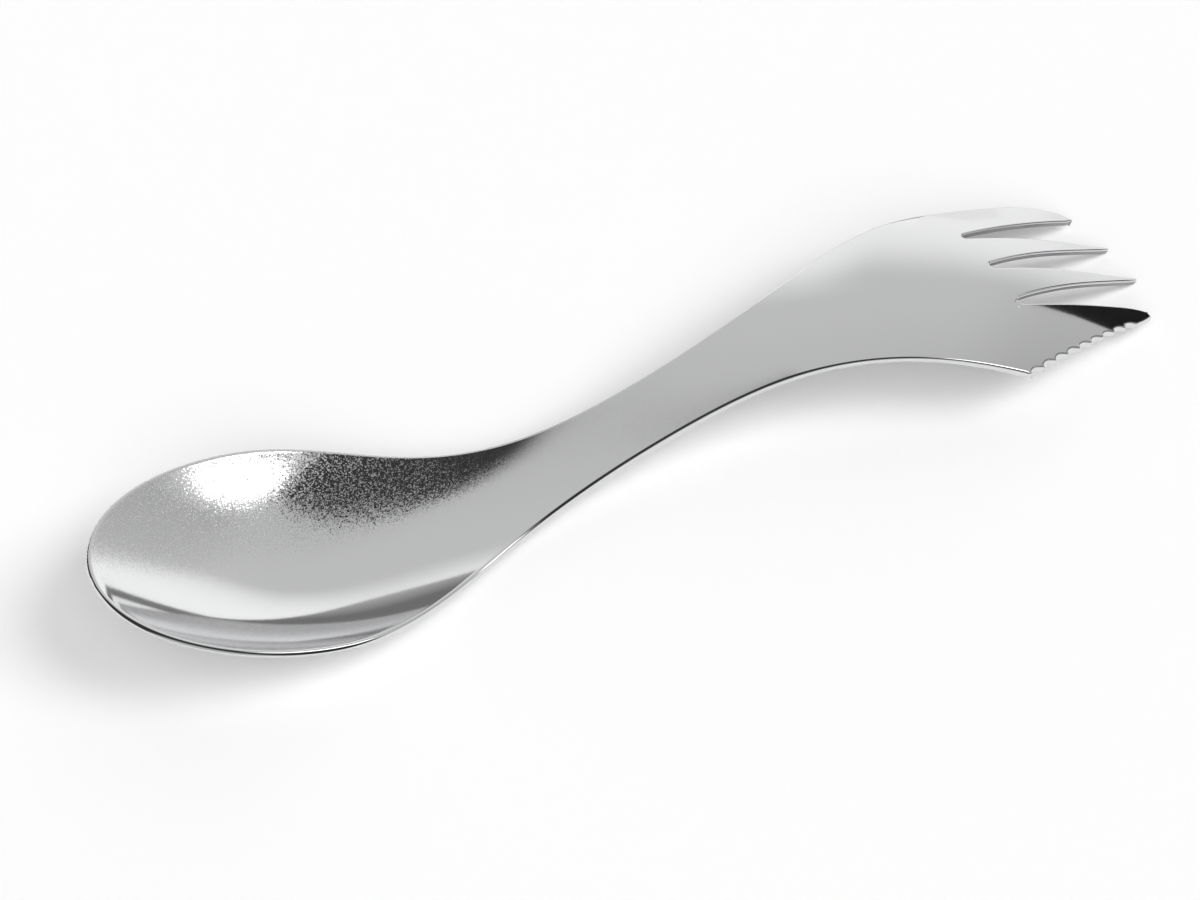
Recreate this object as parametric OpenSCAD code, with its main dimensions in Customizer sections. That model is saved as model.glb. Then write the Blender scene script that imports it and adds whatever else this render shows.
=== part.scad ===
// A spork pressed from one piece of sheet steel: a spoon bowl at one end, a fork head at the other,
// and a scalloped knife edge along one outer tine.
// The sheet is described by its plan outline and by the height it is pressed to, and both are
// functions of the distance from the bowl's tip and of the distance from the centre line.

/* [Sheet] */
// Length from the bowl's tip to the tips of the middle tines
spork_length = 170; // [160:1:180]
// Thickness of the steel sheet
sheet = 1; // [0.8:0.05:1.3]
// Rounding that tumbling leaves on every cut edge
edge_round = 0.3; // [0.15:0.05:0.35]
// Height of the bent centre line at the bowl's tip, which the whole side view follows
bend_height = 17; // [14:0.5:20]

/* [Bowl] */
// Widest place of the bowl
bowl_width = 38.8; // [34:0.2:42]
// From the bowl's tip to its widest place
bowl_front = 27.5; // [24:0.5:31]
// Distance over which the bowl narrows into the handle
bowl_run = 27.3; // [24:0.3:29]
// Depth of the bowl below its rim
bowl_depth = 7.7; // [6:0.1:8.5]
// From the bowl's tip to its deepest place
bowl_deepest = 22; // [19:0.5:25]
// Distance over which the bowl's hollow runs out into the handle
bowl_fade = 24; // [20:0.5:27]
// How much lower than a plain parabola the bowl's walls stay on their way to the rim, as a share
bowl_fullness = 0.15; // [0:0.05:0.25]

/* [Handle] */
// Narrowest width of the handle
handle_width = 11; // [9:0.2:14]

/* [Fork head] */
// From the centre line to the shoulder on the plain side
shoulder_reach = 16.4; // [14:0.2:19]
// From the tine tips back to the shoulder
shoulder_back = 32; // [28:0.5:36]
// Distance over which the handle widens to the shoulder
shoulder_run = 27.3; // [24:0.3:30]
// From the centre line to the heel of the knife edge
heel_reach = 19.9; // [18:0.1:22]
// From the tine tips back to the heel
heel_back = 31.7; // [30:0.1:35]
// Distance over which the handle flares to the heel
heel_run = 38.5; // [34:0.5:42]
// From the heel to where its flare would be widest
heel_beyond = 25; // [20:0.5:30]
// Radius of the head's crown, seen along the spork
crown_radius = 50; // [40:1:80]

/* [Tines] */
// Length of the slots between the tines
slot_length = 26; // [24:0.2:28]
// Width of a slot at its round root
slot_width = 1.1; // [0.8:0.1:1.6]
// Distance from one slot to the next
tine_pitch = 7.9; // [7:0.1:8.5]
// Distance of the middle slot from the centre line, towards the plain side
fork_offset = 0.3; // [0:0.1:1]
// Width of a tine at its tip
tine_tip = 0.8; // [0.6:0.1:1.4]
// Length of the round end of a tine
tine_end = 1.6; // [1:0.1:2.5]
// How much shorter the plain outer tine is than the middle ones
plain_short = 2; // [1:0.1:4]
// Length of the curve from the shoulder to the plain tine's tip
plain_curve = 18.4; // [14:0.2:22]

/* [Knife edge] */
// How much shorter the knife tine is than the middle ones
knife_short = 3.6; // [2:0.1:5]
// From the knife tine's centre line to its edge, at the tip
knife_tip = 1.7; // [1.2:0.1:2.2]
// Length of the knife tine's round end
knife_end = 4; // [3:0.1:5]
// Number of scallops
scallops = 9; // [6:1:9]
// Distance from one scallop to the next, along the spork
scallop_pitch = 2.65; // [2.2:0.05:2.75]
// Depth of a scallop
scallop_depth = 0.6; // [0.3:0.05:0.7]

/* [Hidden] */

// Heights of the bent centre line's control points, at even steps from one step before the bowl's tip
// to one step past the tine tips, as shares of bend_height
bend_shares = [1.129, 1, 0.694, 0.394, 0.112, 0.235, 0.518, 0.824, 0.918, 0.847, 0.588, 0.024, -0.353];
// Share of the spork's length where the crown of the head starts, is full, and starts to flatten
crown_shares = [0.47, 0.735, 0.853];
// Share of the crown that is gone at the tine tips
flatten_share = 0.75;
// How early a slot opens along its length, and how near its heel end a scallop is deepest; 1 is even
slot_power = 0.9;
scallop_power = 0.6;
// How far round its curve a tine's end is cut blunt, and how much of a narrow tip each edge may round
blunt_share = 0.9;
tip_round_share = 0.3;
// Half of the angle at which the first row of facets wraps round the bowl's tip
wrap = 55;
// Rows of facets round the bowl's tip, along the bowl and handle, along a plain tine and round a tip
tip_rows = 10;
bowl_rows = 14;
handle_rows = 26;
tine_rows = 13;
end_rows = 6;
// Facets along one scallop, and across each tine and each slot's root
scallop_steps = 6;
tine_cells = [5, 4, 4, 4];
slot_cells = 3;
// Step used to measure the slope of the pressed sheet
probe = 0.01;

bowl_half = bowl_width / 2;
handle_half = handle_width / 2;
slot_half = slot_width / 2;
tip_half = tine_tip / 2;
heel_at = spork_length - heel_back;
shoulder_at = spork_length - shoulder_back;
scallop_step = scallop_pitch / scallop_steps;
// The slots' roots lie on a row of facets, so they are kept to a whole number of scallop steps
root_steps = round((heel_back - slot_length) / scallop_step);
root_at = heel_at + root_steps * scallop_step;
slot_relief = 3 * slot_width;
plumb_from = heel_at - heel_reach;
tine_ends = [for (k = [0:3]) spork_length - (k == 0 ? knife_short : k == 3 ? plain_short : 0)];
slot_y = [for (k = [0:2]) fork_offset + (k - 1) * tine_pitch];
tine_y = [for (k = [0:3]) fork_offset + (k - 1.5) * tine_pitch];
knife_stop = heel_at + scallops * scallop_pitch;
plain_from = tine_ends[3] - plain_curve;

// Shaping functions: a rise that starts and ends level, a bell, and the rise of a parabola to its top
function rise(x) = let (t = min(max(x, 0), 1)) t * t * t * (t * (6 * t - 15) + 10);
function bell(x) = exp(-x * x);
function hump(x) = x * (2 - x);
function mix(a, b, t) = a + (b - a) * t;
function round_off(x) = sqrt(max(0, 1 - x * x));

// Height of the bent centre line, a smooth curve through even control points
function bend(s) =
    let (spans = len(bend_shares) - 3)
    let (t = s / spork_length * spans)
    let (i = min(max(floor(t), 0), spans - 1))
    let (f = t - i, g = 1 - f)
    let (p = [for (k = [0:3]) bend_shares[i + k]])
    let (early = p[0] * g * g * g + p[1] * (4 - 6 * f * f + 3 * f * f * f))
    let (late = p[2] * (4 - 6 * g * g + 3 * g * g * g) + p[3] * f * f * f)
    bend_height * (early + late) / 6;

// The bowl: half width of its outline, its depth below the bent line, and how fast it rises sideways
function bowl_side(s) =
    s < bowl_front
        ? bowl_half * sqrt(max(0, hump(s / bowl_front)))
        : mix(handle_half, bowl_half, bell((s - bowl_front) / bowl_run));
function bowl_sink(s) =
    bowl_depth * (s < bowl_deepest ? hump(s / bowl_deepest) : bell((s - bowl_deepest) / bowl_fade));
function bowl_curl(s) =
    s < min(bowl_front, bowl_deepest)
        ? bowl_depth / (bowl_half * bowl_half) * (bowl_front / bowl_deepest)
            * (2 - s / bowl_deepest) / (2 - s / bowl_front)
        : bowl_sink(s) / (bowl_side(s) * bowl_side(s));
function bowl_wall(s, y) =
    let (out = y / bowl_side(max(s, probe)))
    bowl_curl(s) * y * y * (1 - bowl_fullness * (1 - out * out));

// The head's crown, as half of its curvature across the spork
function crown(s) =
    let (at = s / spork_length)
    let (grow = rise((at - crown_shares[0]) / (crown_shares[1] - crown_shares[0])))
    let (fade = rise((at - crown_shares[2]) / (1 - crown_shares[2])))
    grow * (1 - flatten_share * fade) / (2 * crown_radius);

// The upper face of the sheet, its outward normal, and a point that lies some way below it. A plan
// point's third number says which way its edge was cut: 0 square to the sheet, 1 straight down.
function height(s, y) = bend(s) - bowl_sink(s) + bowl_wall(s, y) - crown(s) * y * y;
function upper(p) = [p[0], p[1], height(p[0], p[1])];
function normal(p) =
    let (along = (height(p[0] + probe, p[1]) - height(p[0] - probe, p[1])) / (2 * probe))
    let (across = (height(p[0], p[1] + probe) - height(p[0], p[1] - probe)) / (2 * probe))
    [-along, -across, 1] / norm([-along, -across, 1]);
function below(p, depth) =
    let (n = normal(p))
    mix(upper(p) - depth * n, upper(p) - [0, 0, depth / n[2]], p[2]);

// Plan outline on the plain side and on the knife side, as distances from the centre line
function plain_side(s) =
    bowl_side(s) + (shoulder_reach - handle_half) * bell(max(0, shoulder_at - s) / shoulder_run);
function heel_flare(s) = bell((heel_at + heel_beyond - s) / heel_run) / bell(heel_beyond / heel_run);
function scallop(s) =
    let (n = (s - heel_at) / scallop_pitch)
    let (x = pow(max(0, n - floor(n + probe / scallop_pitch)), scallop_power))
    n < 0 || n > scallops ? 0 : scallop_depth * 4 * x * (1 - x);
function knife_line(s) =
    mix(heel_reach, knife_tip - tine_y[0], (s - heel_at) / (tine_ends[0] - heel_at)) - scallop(s);
function knife_side(s) =
    s < heel_at ? bowl_side(s) + (heel_reach - handle_half) * heel_flare(s) : knife_line(s);

// Half of a slot's width, which grows from its root to the tips
function slot_wall(s) =
    let (t = max(0, (s - root_at) / (spork_length - root_at)))
    mix(slot_half, tine_pitch / 2 - tip_half, pow(t, slot_power));

// The two edges of tine k before its end is rounded, first the one nearer the knife side
function plain_edge(s) =
    s < plain_from
        ? plain_side(s)
        : mix(tine_y[3], plain_side(s), round_off((s - plain_from) / plain_curve));
function tine_edges(k, s) = [
    k == 0 ? -knife_line(s) : slot_y[k - 1] + slot_wall(s),
    k == 3 ? plain_edge(s) : slot_y[k] - slot_wall(s)
];
function end_length(k) = k == 0 ? knife_end : tine_end;
function rounded_edges(k, s) =
    let (e = tine_edges(k, s))
    let (x = (s - tine_ends[k]) / end_length(k) + 1)
    let (half = (e[1] - e[0]) / 2 * round_off(blunt_share * max(0, x)))
    let (middle = (e[0] + e[1]) / 2)
    [middle - half, middle + half];

// Columns of facets: each runs the whole length of the spork, and the slots open along some of them
function before(k) = k == 0 ? 0 : before(k - 1) + tine_cells[k - 1] + slot_cells;
first_col = [for (k = [0:3]) before(k)];
last_col = [for (k = [0:3]) before(k) + tine_cells[k]];
columns = last_col[3];

// Where each column crosses the row at the slots' roots: its distance from the centre line, and how
// far the round root draws it back
function root_column(c) =
    let (k = [for (i = [0:3]) if (c >= first_col[i] && c <= last_col[i]) i])
    let (gap = [for (i = [0:2]) if (c > last_col[i] && c < first_col[i + 1]) i])
    len(k) > 0
        ? let (e = tine_edges(k[0], root_at))
            [mix(e[0], e[1], (c - first_col[k[0]]) / tine_cells[k[0]]), 0]
        : let (a = 180 * (c - last_col[gap[0]]) / slot_cells)
            [slot_y[gap[0]] - slot_half * cos(a), slot_half * sin(a)];
root_row = [for (c = [0:columns]) root_column(c)];
root_span = [root_row[0][0], root_row[columns][0]];

// Sideways share of a column, from -1 on the knife side to 1 on the plain side
function bowl_share(c) = sin(wrap * (2 * c / columns - 1)) / sin(wrap);
function root_share(c) = 2 * (root_row[c][0] - root_span[0]) / (root_span[1] - root_span[0]) - 1;
function share(c, s) =
    mix(bowl_share(c), root_share(c), rise((s - bowl_front) / (root_at - bowl_front)));

// The knife edge is cut straight down through the pressed sheet, and every other edge square to it
function plumb(s, i) = rise((s - plumb_from) / (heel_at - plumb_from)) * max(0, 1 - i / tine_cells[0]);

// Plan points of the rows: curved ones round the bowl's tip, then straight ones across the spork
function tip_point(row, c) =
    let (t = row / tip_rows)
    let (angle = mix(wrap, 90, t))
    let (arc = (1 - t) * (cos(wrap * (2 * c / columns - 1)) - cos(wrap)))
    let (s = bowl_front * (1 - cos(angle)))
    [s - bowl_front * arc, bowl_side(s) * bowl_share(c), 0];
function across_point(s, c) =
    let (drawn = root_row[c][1] * max(0, 1 - (root_at - s) / slot_relief))
    [s - drawn, mix(-knife_side(s), plain_side(s), (1 + share(c, s)) / 2), plumb(s, c)];

waist_at = mix(bowl_front, heel_at, bowl_rows / (bowl_rows + handle_rows));
straight_rows = concat(
    [for (i = [1:bowl_rows]) mix(bowl_front, waist_at, i / bowl_rows)],
    [for (i = [1:handle_rows]) mix(waist_at, heel_at, i / handle_rows)],
    [for (i = [1:root_steps]) heel_at + i * scallop_step]
);
body_grid = concat(
    [for (row = [0:tip_rows]) [for (c = [0:columns]) tip_point(row, c)]],
    [for (s = straight_rows) [for (c = [0:columns]) across_point(s, c)]]
);

// Rows of a tine past the slots' roots: the knife tine follows its scallops, and all draw closer at the tip
knife_steps = scallops * scallop_steps - root_steps;
function tine_stations(k) =
    k == 0
        ? concat(
            [for (i = [1:knife_steps]) root_at + i * scallop_step],
            [for (i = [1:end_rows]) mix(knife_stop, tine_ends[0], sin(90 * i / end_rows))])
        : [for (i = [1:tine_rows]) mix(root_at, tine_ends[k], sin(90 * i / tine_rows))];
function tine_grid(k) = [
    for (s = tine_stations(k))
        let (e = rounded_edges(k, s))
        [for (i = [0:tine_cells[k]]) [s, mix(e[0], e[1], i / tine_cells[k]), k == 0 ? plumb(s, i) : 0]]
];
tine_grids = [for (k = [0:3]) tine_grid(k)];

// All plan points in one list, and the number of the point in a row and column of the body or a tine
function flat(rows) = [for (r = rows) each r];
body_last = len(body_grid) - 1;
body_points = flat(body_grid);
tine_points = [for (k = [0:3]) flat(tine_grids[k])];
plan = concat(body_points, tine_points[0], tine_points[1], tine_points[2], tine_points[3]);
function tine_start(k) = k == 0 ? len(body_points) : tine_start(k - 1) + len(tine_points[k - 1]);
tine_starts = [for (k = [0:3]) tine_start(k)];
function body_id(row, c) = row * (columns + 1) + c;
function tine_id(k, row, i) =
    row == 0
        ? body_id(body_last, first_col[k] + i)
        : tine_starts[k] + (row - 1) * (tine_cells[k] + 1) + i;

// The edge of the sheet, once round with the sheet on its left: along the knife side, in and out of
// the slots, back along the plain side and round the bowl's tip
function tine_loop(k) =
    let (n = len(tine_grids[k]))
    concat(
        [for (row = [1:n]) tine_id(k, row, 0)],
        [for (i = [1:tine_cells[k] - 1]) tine_id(k, n, i)],
        [for (row = [n:-1:1]) tine_id(k, row, tine_cells[k])],
        k < 3 ? [for (c = [last_col[k]:first_col[k + 1]]) body_id(body_last, c)] : []);
edge = concat(
    [for (row = [0:body_last]) body_id(row, 0)],
    tine_loop(0), tine_loop(1), tine_loop(2), tine_loop(3),
    [for (row = [body_last:-1:0]) body_id(row, columns)],
    [for (c = [columns - 1:-1:1]) body_id(0, c)]
);
edge_count = len(edge);

// The faces end a little inside the outline, where the rounding of the edge begins, and by less where
// a tine is narrow
function tine_of(id) = id < tine_starts[0] ? -1 : max([for (k = [0:3]) if (id >= tine_starts[k]) k]);
function width_at(id) =
    let (k = tine_of(id))
    k < 0
        ? bowl_width
        : let (row = tine_grids[k][floor((id - tine_starts[k]) / (tine_cells[k] + 1))])
            norm(row[tine_cells[k]] - row[0]);
function inset(i) =
    let (here = plan[edge[i]])
    let (run = plan[edge[(i + 1) % edge_count]] - plan[edge[(i + edge_count - 1) % edge_count]])
    let (depth = min(edge_round, tip_round_share * width_at(edge[i])))
    here + depth * [-run[1], run[0], 0] / norm([run[0], run[1]]);
inner = [for (i = [0:edge_count - 1]) inset(i)];
function flat_point(id) =
    let (found = search(id, edge))
    len(found) > 0 ? inner[found[0]] : plan[id];
flats = [for (id = [0:len(plan) - 1]) flat_point(id)];

// The solid's points: upper face, lower face, and the two lines that bound the upright edge
lower_start = len(plan);
brow_start = 2 * lower_start;
lip_start = brow_start + edge_count;
points = concat(
    [for (p = flats) upper(p)],
    [for (p = flats) below(p, sheet)],
    [for (id = edge) below(plan[id], edge_round)],
    [for (id = edge) below(plan[id], sheet - edge_round)]
);

// Facets, each given clockwise as seen from outside
function pair(a, b, c, d) = [[a, b, c], [a, c, d]];
function cell(a, b, c, d) = concat(
    pair(a, b, c, d),
    pair(d + lower_start, c + lower_start, b + lower_start, a + lower_start));
body_cells = [
    for (row = [0:body_last - 1], c = [0:columns - 1])
        let (a = body_id(row, c), b = body_id(row + 1, c))
        each cell(a, a + 1, b + 1, b)
];
tine_faces = [
    for (k = [0:3], row = [0:len(tine_grids[k]) - 1], i = [0:tine_cells[k] - 1])
        let (a = tine_id(k, row, i), b = tine_id(k, row + 1, i))
        each cell(a, a + 1, b + 1, b)
];
edge_faces = [
    for (i = [0:edge_count - 1])
        let (j = (i + 1) % edge_count)
        each concat(
            pair(edge[i], edge[j], brow_start + j, brow_start + i),
            pair(brow_start + i, brow_start + j, lip_start + j, lip_start + i),
            pair(lip_start + i, lip_start + j, edge[j] + lower_start, edge[i] + lower_start))
];

// The spork lies on the underside of its bowl and on its tine tips, centred over the origin
lowest = min([for (p = points) p[2]]);
function middle(axis) = (min([for (p = points) p[axis]]) + max([for (p = points) p[axis]])) / 2;

module spork() {
    color("silver")
        translate([-middle(0), -middle(1), -lowest])
            polyhedron(points, concat(body_cells, tine_faces, edge_faces));
}

spork();
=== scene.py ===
import math

import bmesh
import bpy
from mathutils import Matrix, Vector
from mathutils.kdtree import KDTree


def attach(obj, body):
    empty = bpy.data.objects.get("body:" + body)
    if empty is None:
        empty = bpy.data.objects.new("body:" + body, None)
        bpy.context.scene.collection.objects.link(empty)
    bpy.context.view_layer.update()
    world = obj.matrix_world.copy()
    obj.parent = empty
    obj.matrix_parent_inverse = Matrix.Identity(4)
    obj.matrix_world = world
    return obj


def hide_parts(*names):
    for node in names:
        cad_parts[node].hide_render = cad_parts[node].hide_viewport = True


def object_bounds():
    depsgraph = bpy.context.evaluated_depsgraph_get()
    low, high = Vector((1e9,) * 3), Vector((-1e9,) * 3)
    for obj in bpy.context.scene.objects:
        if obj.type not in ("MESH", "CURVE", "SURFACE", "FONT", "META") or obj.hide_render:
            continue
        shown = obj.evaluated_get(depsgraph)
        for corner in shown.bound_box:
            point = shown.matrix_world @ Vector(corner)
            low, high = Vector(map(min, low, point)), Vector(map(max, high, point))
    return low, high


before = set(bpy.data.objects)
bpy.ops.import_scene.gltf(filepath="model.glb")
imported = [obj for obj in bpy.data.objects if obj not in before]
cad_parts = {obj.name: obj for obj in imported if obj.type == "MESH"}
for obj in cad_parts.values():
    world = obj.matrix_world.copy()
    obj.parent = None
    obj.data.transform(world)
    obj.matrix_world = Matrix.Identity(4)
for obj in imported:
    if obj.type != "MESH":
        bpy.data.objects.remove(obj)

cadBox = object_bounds()
scene = bpy.context.scene
millimetre = 0.001

# the pressed sheet in millimetres: s runs along the spork from the bowl's tip, y runs across it
sporkSizes = {
    "length": 170.0,
    "sheet": 1.0,
    "lowerRound": 0.3,  # rounding of the lower edge
    "upperRound": 0.4,  # rounding of the upper edge, which is worn a little softer
    "roundShare": 0.3,  # most that a rounding takes of a tine's width
    "bendHeight": 17.0,
    # shares of that, at even steps and one beyond each end: the centre line runs smoothly by them
    "bendShares": (1.129, 1, 0.694, 0.394, 0.112, 0.235, 0.518, 0.824, 0.918, 0.847, 0.588, 0.024, -0.353),
    "bowlHalf": 19.4,
    "bowlFront": 27.5,  # where the bowl is widest
    "bowlRun": 27.3,
    "bowlDepth": 7.7,
    "bowlDeepest": 22.0,
    "bowlFade": 24.0,
    "bowlFullness": 0.15,  # how much flatter than a parabola the bowl's bottom is
    "handleHalf": 5.5,
    "shoulderReach": 16.4,  # the head's plain side
    "shoulderAt": 138.0,
    "shoulderRun": 27.3,
    "heelReach": 19.9,  # the heel of the knife edge
    "heelAt": 138.3,
    "heelRun": 38.5,
    "heelBeyond": 25.0,
    "crownRadius": 50.0,  # the head is pressed to this radius across
    "crownGrow": (79.9, 124.95),
    "crownFade": (145.01, 170.0),
    "flattenShare": 0.75,
    "slotHalf": 0.55,
    "slotPower": 0.9,
    "tinePitch": 7.9,
    "forkOffset": 0.3,
    "tineTipHalf": 0.4,
    "tineEnds": (166.4, 170.0, 170.0, 168.0),
    "endLengths": (4.0, 1.6, 1.6, 1.6),
    "bluntShare": 0.9,
    "plainCurve": 18.4,
    "knifeTip": 1.7,
    "scallops": 9,
    "scallopPitch": 2.65,
    "scallopDepth": 0.6,
    "scallopPower": 0.6,
    "plumbFrom": 118.4,  # from here to the heel the knife edge's wall turns upright
    "wrap": 55.0,  # degrees that the first row of cells wraps round the bowl's tip
    "tipRows": 30,
    "bowlRows": 42,
    "handleRows": 78,
    "scallopSteps": 12,
    "rootSteps": 26,  # rows from the heel to the slots' roots
    "endRows": 12,
    "tineCells": (15, 12, 12, 12),
    "slotCells": 9,
    "edgeCrowd": 0.6,  # how much narrower the cells along a tine's edges are
    "rootReach": 6.0,  # slot half widths over which the rows bend round a slot's root
    "endCrowd": 0.8,
    "roundRings": 5,
    "wallRings": 2,
    "insetReach": 4.0,  # how far in from the edge the points follow the rounding's inset
    "toothRoom": 1.0,  # room for the rounding along the scallops
    "toothRings": (1, 2),  # rings at the top and at the foot of a scallop's wall that are rougher and get painted shade as a dark outline
    "slopeStep": 0.01,  # step over which the sheet's slope is taken
    "tipLeast": 0.01,  # the bowl's width is never taken nearer to its tip than this
    "scallopNudge": 0.001,  # share of a scallop, so that its first point isn't taken as the last one's end
    "weld": 0.0005,
}


def rise(x):
    t = min(max(x, 0.0), 1.0)
    return t * t * t * (t * (6 * t - 15) + 10)


def bell(x):
    return math.exp(-x * x)


def hump(x):
    return x * (2 - x)


def mix(a, b, t):
    return a + (b - a) * t


def roundOff(x):
    return math.sqrt(max(0.0, 1 - x * x))


def bend(s):
    shares = sporkSizes["bendShares"]
    spans = len(shares) - 3
    t = s / sporkSizes["length"] * spans
    i = min(max(int(math.floor(t)), 0), spans - 1)
    f = t - i
    g = 1 - f
    early = shares[i] * g ** 3 + shares[i + 1] * (4 - 6 * f * f + 3 * f ** 3)
    late = shares[i + 2] * (4 - 6 * g * g + 3 * g ** 3) + shares[i + 3] * f ** 3
    return sporkSizes["bendHeight"] * (early + late) / 6


def bowlSide(s):
    half, front = sporkSizes["bowlHalf"], sporkSizes["bowlFront"]
    if s < front:
        return half * math.sqrt(max(0.0, hump(s / front)))
    return mix(sporkSizes["handleHalf"], half, bell((s - front) / sporkSizes["bowlRun"]))


def bowlSink(s):
    deepest = sporkSizes["bowlDeepest"]
    share = hump(s / deepest) if s < deepest else bell((s - deepest) / sporkSizes["bowlFade"])
    return sporkSizes["bowlDepth"] * share


def bowlCurl(s):
    half, front, deepest = sporkSizes["bowlHalf"], sporkSizes["bowlFront"], sporkSizes["bowlDeepest"]
    if s < min(front, deepest):
        return sporkSizes["bowlDepth"] / half ** 2 * (front / deepest) * (2 - s / deepest) / (2 - s / front)
    return bowlSink(s) / bowlSide(s) ** 2


def bowlWall(s, y):
    out = y / bowlSide(max(s, sporkSizes["tipLeast"]))
    return bowlCurl(s) * y * y * (1 - sporkSizes["bowlFullness"] * (1 - out * out))


def crown(s):
    grow, fade = sporkSizes["crownGrow"], sporkSizes["crownFade"]
    full = rise((s - grow[0]) / (grow[1] - grow[0]))
    flat = sporkSizes["flattenShare"] * rise((s - fade[0]) / (fade[1] - fade[0]))
    return full * (1 - flat) / (2 * sporkSizes["crownRadius"])


def height(s, y):
    return bend(s) - bowlSink(s) + bowlWall(s, y) - crown(s) * y * y


def normalAt(s, y):
    h = sporkSizes["slopeStep"]
    along = (height(s + h, y) - height(s - h, y)) / (2 * h)
    across = (height(s, y + h) - height(s, y - h)) / (2 * h)
    return Vector((-along, -across, 1)).normalized()


def below(s, y, plumb, depth):
    # the point at that depth under the upper face: square to the face, or straight down where plumb is 1
    n = normalAt(s, y)
    top = Vector((s, y, height(s, y)))
    return (top - depth * n).lerp(top - Vector((0, 0, depth / n.z)), plumb)


def plainSide(s):
    rest = max(0.0, sporkSizes["shoulderAt"] - s) / sporkSizes["shoulderRun"]
    return bowlSide(s) + (sporkSizes["shoulderReach"] - sporkSizes["handleHalf"]) * bell(rest)


def scallop(s):
    n = (s - sporkSizes["heelAt"]) / sporkSizes["scallopPitch"]
    if n < 0 or n > sporkSizes["scallops"]:
        return 0.0
    x = max(0.0, n - math.floor(n + sporkSizes["scallopNudge"])) ** sporkSizes["scallopPower"]
    return sporkSizes["scallopDepth"] * 4 * x * (1 - x)


# the knife tine is tine 0, and the rows come to the slots' roots on a whole step of a scallop
tines = len(sporkSizes["tineEnds"])
slots = tines - 1
tineY = [sporkSizes["forkOffset"] + (k - (tines - 1) / 2) * sporkSizes["tinePitch"] for k in range(tines)]
slotY = [sporkSizes["forkOffset"] + (k - (slots - 1) / 2) * sporkSizes["tinePitch"] for k in range(slots)]
scallopStep = sporkSizes["scallopPitch"] / sporkSizes["scallopSteps"]
rootAt = sporkSizes["heelAt"] + sporkSizes["rootSteps"] * scallopStep


def knifeSide(s):
    at, run = sporkSizes["heelAt"], sporkSizes["heelRun"]
    if s < at:
        beyond = sporkSizes["heelBeyond"]
        flare = bell((at + beyond - s) / run) / bell(beyond / run)
        return bowlSide(s) + (sporkSizes["heelReach"] - sporkSizes["handleHalf"]) * flare
    tip = sporkSizes["knifeTip"] - tineY[0]
    return mix(sporkSizes["heelReach"], tip, (s - at) / (sporkSizes["tineEnds"][0] - at)) - scallop(s)


def slotWall(s):
    t = max(0.0, (s - rootAt) / (sporkSizes["length"] - rootAt))
    widest = sporkSizes["tinePitch"] / 2 - sporkSizes["tineTipHalf"]
    return mix(sporkSizes["slotHalf"], widest, t ** sporkSizes["slotPower"])


def plainEdge(s):
    curve = sporkSizes["plainCurve"]
    start = sporkSizes["tineEnds"][-1] - curve
    return plainSide(s) if s < start else mix(tineY[-1], plainSide(s), roundOff((s - start) / curve))


def tineEdges(k, s):
    low = -knifeSide(s) if k == 0 else slotY[k - 1] + slotWall(s)
    high = plainEdge(s) if k == tines - 1 else slotY[k] - slotWall(s)
    return low, high


def roundedEdges(k, s):
    low, high = tineEdges(k, s)
    x = (s - sporkSizes["tineEnds"][k]) / sporkSizes["endLengths"][k] + 1
    half = (high - low) / 2 * roundOff(sporkSizes["bluntShare"] * max(0.0, x))
    return (low + high) / 2 - half, (low + high) / 2 + half


# the sheet's cells: rows follow each other along the spork, columns lie side by side across it
tineCells, slotCells = sporkSizes["tineCells"], sporkSizes["slotCells"]
firstCol = [sum(tineCells[:k]) + k * slotCells for k in range(tines)]
lastCol = [firstCol[k] + tineCells[k] for k in range(tines)]
columns = lastCol[-1]
heelRow = sporkSizes["tipRows"] + sporkSizes["bowlRows"] + sporkSizes["handleRows"]
rootRow = heelRow + sporkSizes["rootSteps"]
knifeSteps = sporkSizes["scallops"] * sporkSizes["scallopSteps"] - sporkSizes["rootSteps"]
rows = rootRow + knifeSteps + sporkSizes["endRows"]
wrap = math.radians(sporkSizes["wrap"])


def crowd(u):
    return u - sporkSizes["edgeCrowd"] * math.sin(2 * math.pi * u) / (2 * math.pi)


def rootColumn(c):
    # place across at the slots' roots, and how far the slot's round end draws the point back
    for k in range(tines):
        if firstCol[k] <= c <= lastCol[k]:
            low, high = tineEdges(k, rootAt)
            return mix(low, high, crowd((c - firstCol[k]) / tineCells[k])), 0.0
    k = next(i for i in range(slots) if lastCol[i] < c < firstCol[i + 1])
    turn = math.pi * (c - lastCol[k]) / slotCells
    return slotY[k] - sporkSizes["slotHalf"] * math.cos(turn), sporkSizes["slotHalf"] * math.sin(turn)


rootColumns = [rootColumn(c) for c in range(columns + 1)]
rootLow, rootHigh = rootColumns[0][0], rootColumns[-1][0]


def bowlShare(c):
    return math.sin(wrap * (2 * c / columns - 1)) / math.sin(wrap)


def share(c, s):
    root = 2 * (rootColumns[c][0] - rootLow) / (rootHigh - rootLow) - 1
    return mix(bowlShare(c), root, rise((s - sporkSizes["bowlFront"]) / (rootAt - sporkSizes["bowlFront"])))


def plumbAt(s, i):
    start = sporkSizes["plumbFrom"]
    return rise((s - start) / (sporkSizes["heelAt"] - start)) * max(0.0, 1 - i / tineCells[0])


def bodyStation(row):
    tip, front, heel = sporkSizes["tipRows"], sporkSizes["bowlFront"], sporkSizes["heelAt"]
    if row <= heelRow:
        return mix(front, heel, (row - tip) / (heelRow - tip))
    return heel + (row - heelRow) * scallopStep


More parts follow.
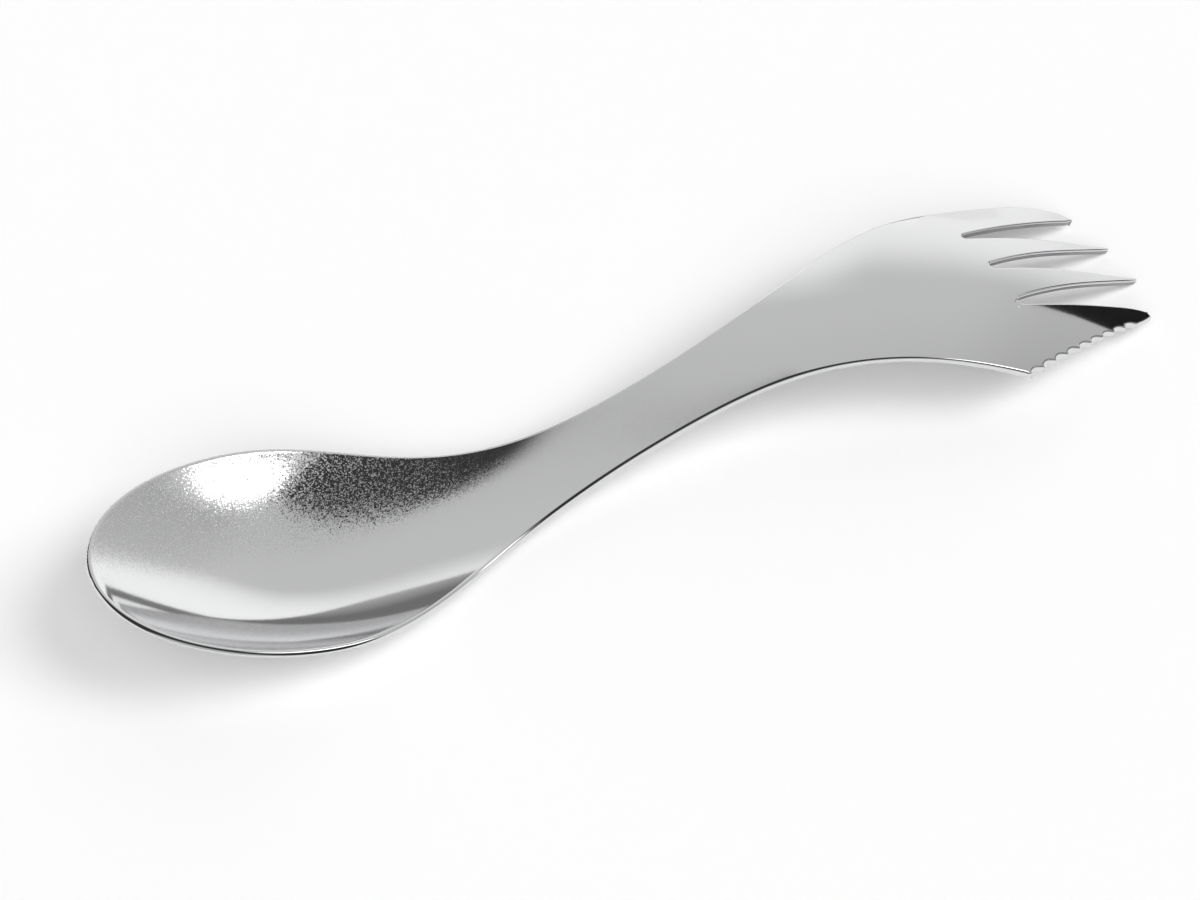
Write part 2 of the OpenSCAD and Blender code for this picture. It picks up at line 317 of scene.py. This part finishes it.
def tineStation(k, count):
    if k == 0 and count <= knifeSteps:
        return rootAt + count * scallopStep
    end = sporkSizes["tineEnds"][k]
    if k == 0:
        stop = rootAt + knifeSteps * scallopStep
        return mix(stop, end, math.sin(math.pi / 2 * (count - knifeSteps) / sporkSizes["endRows"]))
    t = count / (rows - rootRow)
    return mix(rootAt, end, mix(t, math.sin(math.pi / 2 * t), sporkSizes["endCrowd"]))


def planPoint(row, c):
    # station, place across, how upright the wall is there, and the room for a rounding
    tip, front = sporkSizes["tipRows"], sporkSizes["bowlFront"]
    if row <= tip:
        t = row / tip
        s = front * (1 - math.cos(mix(wrap, math.pi / 2, t)))
        arc = (1 - t) * (math.cos(wrap * (2 * c / columns - 1)) - math.cos(wrap))
        return s - front * arc, bowlSide(s) * bowlShare(c), 0.0, sporkSizes["bowlHalf"]
    if row <= rootRow:
        s = bodyStation(row)
        reach = sporkSizes["rootReach"] * sporkSizes["slotHalf"]
        drawn = rootColumns[c][1] * max(0.0, 1 - (rootAt - s) / reach)
        y = mix(-knifeSide(s), plainSide(s), (1 + share(c, s)) / 2)
        room = sporkSizes["toothRoom" if c == 0 and row > heelRow else "bowlHalf"]
        return s - drawn, y, plumbAt(s, c), room
    k = next(i for i in range(tines) if firstCol[i] <= c <= lastCol[i])
    s = tineStation(k, row - rootRow)
    low, high = roundedEdges(k, s)
    i = c - firstCol[k]
    room = sporkSizes["toothRoom"] if c == 0 else high - low
    return s, mix(low, high, crowd(i / tineCells[k])), plumbAt(s, i) if k == 0 else 0.0, room


def edgeProfile():
    # inset from the outline and depth below the upper face, ring by ring down the edge
    upper, lower, sheet = sporkSizes["upperRound"], sporkSizes["lowerRound"], sporkSizes["sheet"]
    turns = [math.pi / 2 * i / sporkSizes["roundRings"] for i in range(sporkSizes["roundRings"] + 1)]
    profile = [(upper * (1 - math.sin(turn)), upper * (1 - math.cos(turn))) for turn in turns]
    for i in range(1, sporkSizes["wallRings"]):
        profile.append((0.0, mix(upper, sheet - lower, i / sporkSizes["wallRings"])))
    for turn in reversed(turns):
        profile.append((lower * (1 - math.sin(turn)), sheet - lower * (1 - math.cos(turn))))
    return profile


def outlineWays(bm, rowOf, colOf, plan):
    # the way out of the sheet at each point of its outline
    after, before = {}, {}
    for edge in bm.edges:
        if edge.is_boundary:
            loop = edge.link_loops[0]
            a, b = loop.vert, loop.link_loop_next.vert
            after[(a[rowOf], a[colOf])] = (b[rowOf], b[colOf])
            before[(b[rowOf], b[colOf])] = (a[rowOf], a[colOf])
    ways = {}
    for key in after:
        one, two = plan[before[key]], plan[after[key]]
        run = Vector((two[0] - one[0], two[1] - one[1])).normalized()
        ways[key] = (run.y, -run.x)
    return ways


def nearestEdge(plan, ways):
    # for each point of the sheet, the nearest point of its outline and the gap to it
    edge = list(ways)
    finder = KDTree(len(edge))
    for i, key in enumerate(edge):
        finder.insert((plan[key][0], plan[key][1], 0), i)
    finder.balance()
    nearest = {}
    for key, point in plan.items():
        i, gap = finder.find((point[0], point[1], 0))[1:]
        nearest[key] = (key, 0.0) if key in ways else (edge[i], gap)
    return nearest


def buildSpork():
    bm = bmesh.new()
    bmesh.ops.create_grid(bm, x_segments=rows, y_segments=columns, size=1)
    rowOf = bm.verts.layers.int.new("row")
    colOf = bm.verts.layers.int.new("col")
    ringOf = bm.verts.layers.int.new("ring")
    cutAndShadeOf = bm.verts.layers.float.new("cut")
    digits = 5  # enough to tell the grid's lines apart
    rowFrom = {x: i for i, x in enumerate(sorted({round(v.co.x, digits) for v in bm.verts}))}
    colFrom = {y: i for i, y in enumerate(sorted({round(v.co.y, digits) for v in bm.verts}))}
    for v in bm.verts:
        v[rowOf], v[colOf] = rowFrom[round(v.co.x, digits)], colFrom[round(v.co.y, digits)]
    print("grid of", len(rowFrom) - 1, "rows and", len(colFrom) - 1, "columns")

    slotFaces = []
    for face in bm.faces:
        low = min(v[colOf] for v in face.verts)
        inTine = any(firstCol[k] <= low < lastCol[k] for k in range(tines))
        if min(v[rowOf] for v in face.verts) >= rootRow and not inTine:
            slotFaces.append(face)
    bmesh.ops.delete(bm, geom=slotFaces, context="FACES")
    bmesh.ops.recalc_face_normals(bm, faces=bm.faces)
    if sum(face.normal.z for face in bm.faces) < 0:
        bmesh.ops.reverse_faces(bm, faces=bm.faces)
    print("slots cut between the tines")

    plan = {(v[rowOf], v[colOf]): planPoint(v[rowOf], v[colOf]) for v in bm.verts}
    ways = outlineWays(bm, rowOf, colOf, plan)
    nearest = nearestEdge(plan, ways)
    profile = edgeProfile()
    lastRing = len(profile) - 1

    rim = [edge for edge in bm.edges if edge.is_boundary]
    lower = bmesh.ops.duplicate(bm, geom=list(bm.verts) + list(bm.edges) + list(bm.faces))["geom"]
    for v in lower:
        if isinstance(v, bmesh.types.BMVert):
            v[ringOf] = lastRing
    bmesh.ops.reverse_faces(bm, faces=[g for g in lower if isinstance(g, bmesh.types.BMFace)])
    for ring in range(1, lastRing + 1):
        made = bmesh.ops.extrude_edge_only(bm, edges=rim)["geom"]
        for v in made:
            if isinstance(v, bmesh.types.BMVert):
                v[ringOf] = ring
        rim = [g for g in made if isinstance(g, bmesh.types.BMEdge)]

    # walls marked here get a rougher finish and painted shade: the slot walls, and the top and foot of each
    # scallop as a dark outline
    cutFrom = sporkSizes["roundRings"] - 1
    topRings, footRings = sporkSizes["toothRings"]
    for v in bm.verts:
        row, column, ring = v[rowOf], v[colOf], v[ringOf]
        s, y, plumb = plan[(row, column)][:3]
        near, gap = nearest[(row, column)]
        room = plan[near][3]
        reach = min(sporkSizes["insetReach"], room / 2)
        inset, depth = profile[ring]
        inset *= min(1.0, sporkSizes["roundShare"] * room / sporkSizes["upperRound"])
        inset *= max(0.0, 1 - gap / reach)  # the points inside follow the edge
        v.co = below(s - ways[near][0] * inset, y - ways[near][1] * inset, plumb, depth)
        inSlot = row >= rootRow and 0 < column < columns and cutFrom <= ring < lastRing
        onTooth = column == 0 and heelRow < row < rows and not topRings < ring < lastRing - footRings
        v[cutAndShadeOf] = 1.0 if inSlot or onTooth else 0.0
    bmesh.ops.remove_doubles(bm, verts=bm.verts, dist=sporkSizes["weld"])
    print("sheet pressed and its edges rounded")

    low = Vector([min(v.co[i] for v in bm.verts) for i in range(3)])
    high = Vector([max(v.co[i] for v in bm.verts) for i in range(3)])
    seat = Vector(((low.x + high.x) / 2, (low.y + high.y) / 2, low.z))
    bmesh.ops.translate(bm, verts=bm.verts, vec=-seat)
    fit = [min(millimetre, (cadBox[1][i] - cadBox[0][i]) / (high[i] - low[i])) for i in range(3)]
    bmesh.ops.scale(bm, verts=bm.verts, vec=fit)  # to metres, inside the solid's box
    bmesh.ops.recalc_face_normals(bm, faces=bm.faces)
    for face in bm.faces:
        face.smooth = True
    openEdges = sum(1 for edge in bm.edges if not edge.is_manifold)
    triangles = sum(len(face.verts) - 2 for face in bm.faces)
    print("spork of", triangles, "triangles,", openEdges, "open edges")
    print("fitted to the solid's box by", [round(f / millimetre, 4) for f in fit])
    for layer in (ringOf, colOf, rowOf):
        bm.verts.layers.int.remove(layer)
    return makeObject("sporkSheet", bm)


def makeObject(name, bm):
    mesh = bpy.data.meshes.new(name)
    bm.to_mesh(mesh)
    bm.free()
    made = bpy.data.objects.new(name, mesh)
    scene.collection.objects.link(made)
    return made


class Wire:
    def __init__(self, tree, socket=None):
        self.tree = tree
        self.socket = socket

    def node(self, kind, settings=None, inputs=None, out=0):
        made = self.tree.nodes.new(kind)
        for name, value in (settings or {}).items():
            setattr(made, name, value)
        for name, value in (inputs or {}).items():
            if isinstance(value, Wire):
                self.tree.links.new(value.socket, made.inputs[name])
            else:
                made.inputs[name].default_value = value
        return Wire(self.tree, made.outputs[out] if len(made.outputs) else None)

    def calc(self, operation, *values):
        return self.node("ShaderNodeMath", {"operation": operation}, dict(enumerate(values)))

    def vector(self, operation, *values, out=0):
        return self.node("ShaderNodeVectorMath", {"operation": operation}, dict(enumerate(values)), out)

    def along(self, axis):
        return self.vector("DOT_PRODUCT", self, tuple(axis), out="Value")

    def part(self, name):
        return self.node("ShaderNodeSeparateXYZ", {}, {0: self}, name)

    def step(self, low, high, smooth=True):
        kind = "SMOOTHSTEP" if smooth else "LINEAR"
        return self.node("ShaderNodeMapRange", {"interpolation_type": kind},
                         {"Value": self, "From Min": low, "From Max": high, "To Min": 0.0, "To Max": 1.0})

    def __add__(self, other):
        return self.calc("ADD", self, other)

    def __radd__(self, other):
        return self.calc("ADD", other, self)

    def __sub__(self, other):
        return self.calc("SUBTRACT", self, other)

    def __rsub__(self, other):
        return self.calc("SUBTRACT", other, self)

    def __mul__(self, other):
        return self.calc("MULTIPLY", self, other)

    def __rmul__(self, other):
        return self.calc("MULTIPLY", other, self)

    def __truediv__(self, other):
        return self.calc("DIVIDE", self, other)

    def __rtruediv__(self, other):
        return self.calc("DIVIDE", other, self)


def emptyTree(owner):
    owner.use_nodes = True
    owner.node_tree.nodes.clear()
    return Wire(owner.node_tree)


steelLook = {
    "color": (0.72, 0.722, 0.728, 1),
    "paintedShadeColor": (0.3, 0.3, 0.305, 1),  # painted shade: the slot walls and the scallops' outlines are coloured darker to stand for the dark reflections they show
    "roughness": 0.08,
    "cutRoughness": 0.15,
    "smudge": 0.03,
    "smudgesPerMetre": 420.0,
    "smudgeDetail": 4.0,
    "facetsPerMetre": 6500.0,  # the fine dimples that pressing and tumbling leave
    "facetTilt": 0.22,
    "calmShare": 0.05,  # how much of them is left outside the bowl's far wall
    "grainAcross": (-0.002, 0.008),  # where the grainy wall begins, in metres across
    "grainAlong": (-0.040, -0.018),  # and where it ends along the spork
    "pitsFrom": 0.55,  # share of the facets that stay smooth
    "pitRoughness": 0.4,
}


def tumbledSteel():
    steel = bpy.data.materials.new("tumbledSteel")
    tree = emptyTree(steel)
    where = tree.node("ShaderNodeTexCoord", out="Object")
    inFarWall = where.part("Y").step(*steelLook["grainAcross"])
    grainy = inFarWall * (1 - where.part("X").step(*steelLook["grainAlong"]))
    facets = tree.node("ShaderNodeTexVoronoi", {},
                       {"Vector": where, "Scale": steelLook["facetsPerMetre"]}, "Color")
    leaning = facets.vector("SUBTRACT", facets, (0.5, 0.5, 0.5))
    # each is multiplied by its own size, so that most facets are faint and a few stand out
    leaning = leaning.vector("MULTIPLY", leaning, leaning.vector("ABSOLUTE", leaning))
    amount = steelLook["facetTilt"] * (steelLook["calmShare"] + (1 - steelLook["calmShare"]) * grainy)
    leaning = tree.node("ShaderNodeVectorMath", {"operation": "SCALE"}, {0: leaning, "Scale": amount})
    upright = tree.node("ShaderNodeNewGeometry", out="Normal")
    normal = upright.vector("NORMALIZE", upright.vector("ADD", upright, leaning))
    pits = facets.part("X").step(steelLook["pitsFrom"], 1.0) * grainy
    cloud = tree.node("ShaderNodeTexNoise", {}, {
        "Vector": where, "Scale": steelLook["smudgesPerMetre"], "Detail": steelLook["smudgeDetail"]})
    cutWallsAndShade = tree.node("ShaderNodeAttribute", {"attribute_name": "cut"}, out="Fac")
    # painted shade: the marked walls are coloured much darker, and made rougher
    color = tree.node("ShaderNodeMix", {"data_type": "RGBA"},
                      {0: cutWallsAndShade, 6: steelLook["color"], 7: steelLook["paintedShadeColor"]}, 2)
    roughness = steelLook["roughness"] + steelLook["smudge"] * (cloud - 0.5)
    roughness = roughness + steelLook["pitRoughness"] * pits + steelLook["cutRoughness"] * cutWallsAndShade
    metal = tree.node("ShaderNodeBsdfPrincipled", {}, {
        "Base Color": color, "Metallic": 1.0, "Roughness": roughness, "Normal": normal})
    tree.node("ShaderNodeOutputMaterial", {}, {"Surface": metal})
    return steel


print("building the spork")
spork = buildSpork()
spork.data.materials.append(tumbledSteel())
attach(spork, "root")
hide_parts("spork")

floorLook = {"side": 8.0, "color": (0.92, 0.92, 0.92, 1)}


def makeFloor():
    bm = bmesh.new()
    bmesh.ops.create_grid(bm, x_segments=1, y_segments=1, size=floorLook["side"] / 2)
    floor = makeObject("floor", bm)
    paper = bpy.data.materials.new("whitePaper")
    tree = emptyTree(paper)
    matt = tree.node("ShaderNodeBsdfDiffuse", {}, {"Color": floorLook["color"]})
    tree.node("ShaderNodeOutputMaterial", {}, {"Surface": matt})
    floor.data.materials.append(paper)


print("laying the floor")
makeFloor()

cameraView = {
    "turn": 26.6,
    "tilt": 48.88,
    "distance": 0.3498,
    "aim": (-0.01001, -0.00295, 0.008),
    "lens": 72.0,
    "sensor": 36.0,
    "nearest": 0.01,
}
turn, tilt = math.radians(cameraView["turn"]), math.radians(cameraView["tilt"])
rightward = Vector((math.cos(turn), -math.sin(turn), 0))
backward = Vector((math.sin(turn), math.cos(turn), 0))  # along the floor, away from the camera
upward = Vector((0, 0, 1))


def makeCamera():
    camera = bpy.data.objects.new("camera", bpy.data.cameras.new("camera"))
    camera.data.lens = cameraView["lens"]
    camera.data.sensor_width = cameraView["sensor"]
    camera.data.clip_start = cameraView["nearest"]
    forward = backward * math.cos(tilt) - upward * math.sin(tilt)
    camera.location = Vector(cameraView["aim"]) - forward * cameraView["distance"]
    camera.rotation_euler = (math.pi / 2 - tilt, 0, -turn)
    scene.collection.objects.link(camera)
    scene.camera = camera


print("placing the camera")
makeCamera()

# the room that the steel mirrors, by how far a direction points right, behind and up: a grey
# wall overhead, a pale sweep behind, a dark room in front and at the left, a softbox at the
# right, and a pale horizon all round
studio = {
    "wall": 0.57,
    "wallRise": 0.12,  # how much paler the wall is towards the back
    "wallRiseOver": (-0.15, 0.78),
    "sideShade": 0.095,
    "sideShadeOver": (0.38, 0.72),
    "sweep": 0.42,
    "sweepFrom": 0.82,
    "sweepSlant": 0.265,
    "sweepLevel": 0.085,  # the sweep's edge is level up to here
    "sweepDepth": 0.2,
    "dark": 0.043,
    "darkReach": 0.37,
    "darkSlant": 0.77,
    "darkMost": 0.44,
    "darkSoft": 0.03,
    "darkRight": (0.38, 0.46),
    "darkFront": (-0.31, -0.25),
    "darkFrontEnds": (-0.8, -0.68),  # the wall farthest in front is grey again
    "darkLeft": (-0.56, -0.46),
    "darkLeftBehind": (0.72, 0.82),
    "softbox": 3.0,
    "softboxAt": (0.655, -0.09),
    "softboxHalf": (0.2, 0.17),
    "softboxRim": (0.85, 1.15),
    "halo": 0.25,
    "haloOver": (1.0, 3.0),
    "horizon": 1.0,
    "brim": -0.04,
    "brimFront": 0.16,
    "brimFrontOver": (0.35, 0.6),
    "brimLeft": 0.3,
    "brimLeftOver": (-0.6, -0.3),
    "brimLeftBehind": (0.0, 0.35),
    "brimSoft": 0.04,
}


def makeRoom():
    world = bpy.data.worlds.new("studio")
    scene.world = world
    tree = emptyTree(world)
    ray = tree.node("ShaderNodeTexCoord", out="Generated")
    right, behind, up = ray.along(rightward), ray.along(backward), ray.along(upward)
    look = studio["wall"] + studio["wallRise"] * behind.step(*studio["wallRiseOver"])
    look = look - studio["sideShade"] * right.step(*studio["sideShadeOver"])
    slant = studio["sweepSlant"] * right.calc("MAXIMUM", right - studio["sweepLevel"], 0.0)
    look = look + studio["sweep"] * (behind - studio["sweepFrom"] + slant).step(0.0, studio["sweepDepth"])
    wide = (right - studio["softboxAt"][0]) / studio["softboxHalf"][0]
    deep = (behind - studio["softboxAt"][1]) / studio["softboxHalf"][1]
    fromBox = wide * wide + deep * deep
    look = look + studio["halo"] * (1 - fromBox.step(*studio["haloOver"]))
    limit = studio["darkReach"] - studio["darkSlant"] * right
    limit = limit.calc("MINIMUM", limit, studio["darkMost"])
    dark = 1 - (behind - limit).step(-studio["darkSoft"], studio["darkSoft"])
    dark = dark * (1 - right.step(*studio["darkRight"]))
    dark = dark.calc("MAXIMUM", dark, 1 - behind.step(*studio["darkFront"]))
    leftWall = (1 - right.step(*studio["darkLeft"])) * (1 - behind.step(*studio["darkLeftBehind"]))
    dark = dark.calc("MAXIMUM", dark, leftWall) * behind.step(*studio["darkFrontEnds"])
    look = look + dark * (studio["dark"] - look)
    look = look + (1 - fromBox.step(*studio["softboxRim"])) * (studio["softbox"] - look)
    front = studio["brimFront"] * (1 - behind.step(*studio["brimFrontOver"]))
    left = (1 - right.step(*studio["brimLeftOver"])) * (1 - behind.step(*studio["brimLeftBehind"]))
    brim = studio["brim"] + front + studio["brimLeft"] * left
    pale = 1 - (up - brim).step(-studio["brimSoft"], studio["brimSoft"])
    look = look + pale * (studio["horizon"] - look)
    back = tree.node("ShaderNodeBackground", {}, {"Color": look, "Strength": 1.0})
    tree.node("ShaderNodeOutputWorld", {}, {"Surface": back})


def cardObject(name, corner):
    # an upright card that is only mirrored: corner gives its place for each side and its foot or top
    bm = bmesh.new()
    bmesh.ops.create_grid(bm, x_segments=1, y_segments=1, size=1)
    for v in bm.verts:
        v.co = corner("right" if v.co.x > 0 else "left", v.co.y > 0)
    card = makeObject(name, bm)
    card.visible_camera = card.visible_diffuse = card.visible_shadow = False
    return card


# a black card beyond the knife tine, out of the picture and seen only in reflections: it paints a dark
# reflection on the tip
darkCard = {
    "foot": (0.0723, -0.0115),
    "facing": 24.0,  # degrees from the spork's length
    "beyond": 0.070,
    "left": -0.007,
    "right": 0.014,
    "top": 0.050,
    "slant": 1.0,
    "color": (0.015, 0.015, 0.015, 1),
}


def makeDarkCard():
    facing = math.radians(darkCard["facing"])
    out = Vector((math.cos(facing), math.sin(facing), 0))
    side = Vector((math.sin(facing), -math.cos(facing), 0))
    foot = Vector((*darkCard["foot"], 0)) + out * darkCard["beyond"]

    def corner(end, isTop):
        top = darkCard["top"] - darkCard["slant"] * darkCard[end] if isTop else 0.0
        return foot + side * darkCard[end] + upward * top

    card = cardObject("darkCard", corner)
    # painted reflection: near black, seen only in the steel
    black = bpy.data.materials.new("paintedDarkReflection")
    tree = emptyTree(black)
    reflectedDark = tree.node("ShaderNodeBsdfDiffuse", {}, {"Color": darkCard["color"]})
    tree.node("ShaderNodeOutputMaterial", {}, {"Surface": reflectedDark})
    card.data.materials.append(black)


# a glowing card beyond the bowl, seen only in reflections: it paints the pale reflection and the grey band
# at its foot in the bowl's near wall
paleCard = {
    "beyond": 0.119,
    "left": -0.080,
    "right": 0.056,
    "top": 0.105,
    "pale": 1.17,
    "grey": 0.2,
    "footCurve": (6.04, -0.65, -0.01725),  # the grey foot climbs at its left end
    "footLeast": 0.0117,
    "footSoft": 0.0012,
    "fadeFrom": 0.03,
    "rightFade": (0.015, 0.05),
    "rightFadeUp": (0.014, 0.026),
}


def makePaleCard():
    def corner(end, isTop):
        place = backward * paleCard["beyond"] + rightward * paleCard[end]
        return place + upward * (paleCard["top"] if isTop else 0.0)

    card = cardObject("paleCard", corner)
    sheet = bpy.data.materials.new("paintedReflectionGlow")
    tree = emptyTree(sheet)
    where = tree.node("ShaderNodeTexCoord", out="Object")
    across, high = where.along(rightward), where.part("Z")
    curve = paleCard["footCurve"]
    foot = curve[0] * across * across + curve[1] * across + curve[2]
    foot = foot.calc("MAXIMUM", foot, paleCard["footLeast"])
    inFoot = 1 - (high - foot).step(-paleCard["footSoft"], paleCard["footSoft"])
    # painted reflection: pale where the card glows, grey in its foot
    glow = paleCard["pale"] - inFoot * (paleCard["pale"] - paleCard["grey"])
    rightEnd = across.step(*paleCard["rightFade"]) * high.step(*paleCard["rightFadeUp"])
    cover = (1 - high.step(paleCard["fadeFrom"], paleCard["top"], False)) * (1 - rightEnd)
    shine = tree.node("ShaderNodeEmission", {}, {"Color": glow, "Strength": 1.0})
    clear = tree.node("ShaderNodeBsdfTransparent")
    sheer = tree.node("ShaderNodeMixShader", {}, {0: cover, 1: clear, 2: shine})
    tree.node("ShaderNodeOutputMaterial", {}, {"Surface": sheer})
    card.data.materials.append(sheet)


# two soft suns light the floor and aren't mirrored: the key from the softbox, the fill from the front
lamps = {
    "keyAzimuth": 100.0,
    "keyHeight": 48.0,
    "keyAngle": 33.0,
    "keyStrength": 1.0,
    "fillFront": 0.9,
    "fillAngle": 60.0,
    "fillStrength": 1.75,
}


def makeSun(name, towards, angle, strength):
    lamp = bpy.data.lights.new(name, "SUN")
    lamp.angle = math.radians(angle)
    lamp.energy = strength
    sun = bpy.data.objects.new(name, lamp)
    sun.rotation_euler = towards.to_track_quat("Z", "Y").to_euler()
    sun.location = towards
    sun.visible_glossy = False
    scene.collection.objects.link(sun)


def makeLamps():
    turned, raised = math.radians(lamps["keyAzimuth"]), math.radians(lamps["keyHeight"])
    level = rightward * math.sin(turned) + backward * math.cos(turned)
    key = level * math.cos(raised) + upward * math.sin(raised)
    fill = upward - backward * lamps["fillFront"]
    makeSun("key", key, lamps["keyAngle"], lamps["keyStrength"])
    makeSun("fill", fill, lamps["fillAngle"], lamps["fillStrength"])


print("lighting the studio")
makeRoom()
makeDarkCard()
makePaleCard()
makeLamps()
scene.view_settings.view_transform = "Standard"

print("finished")
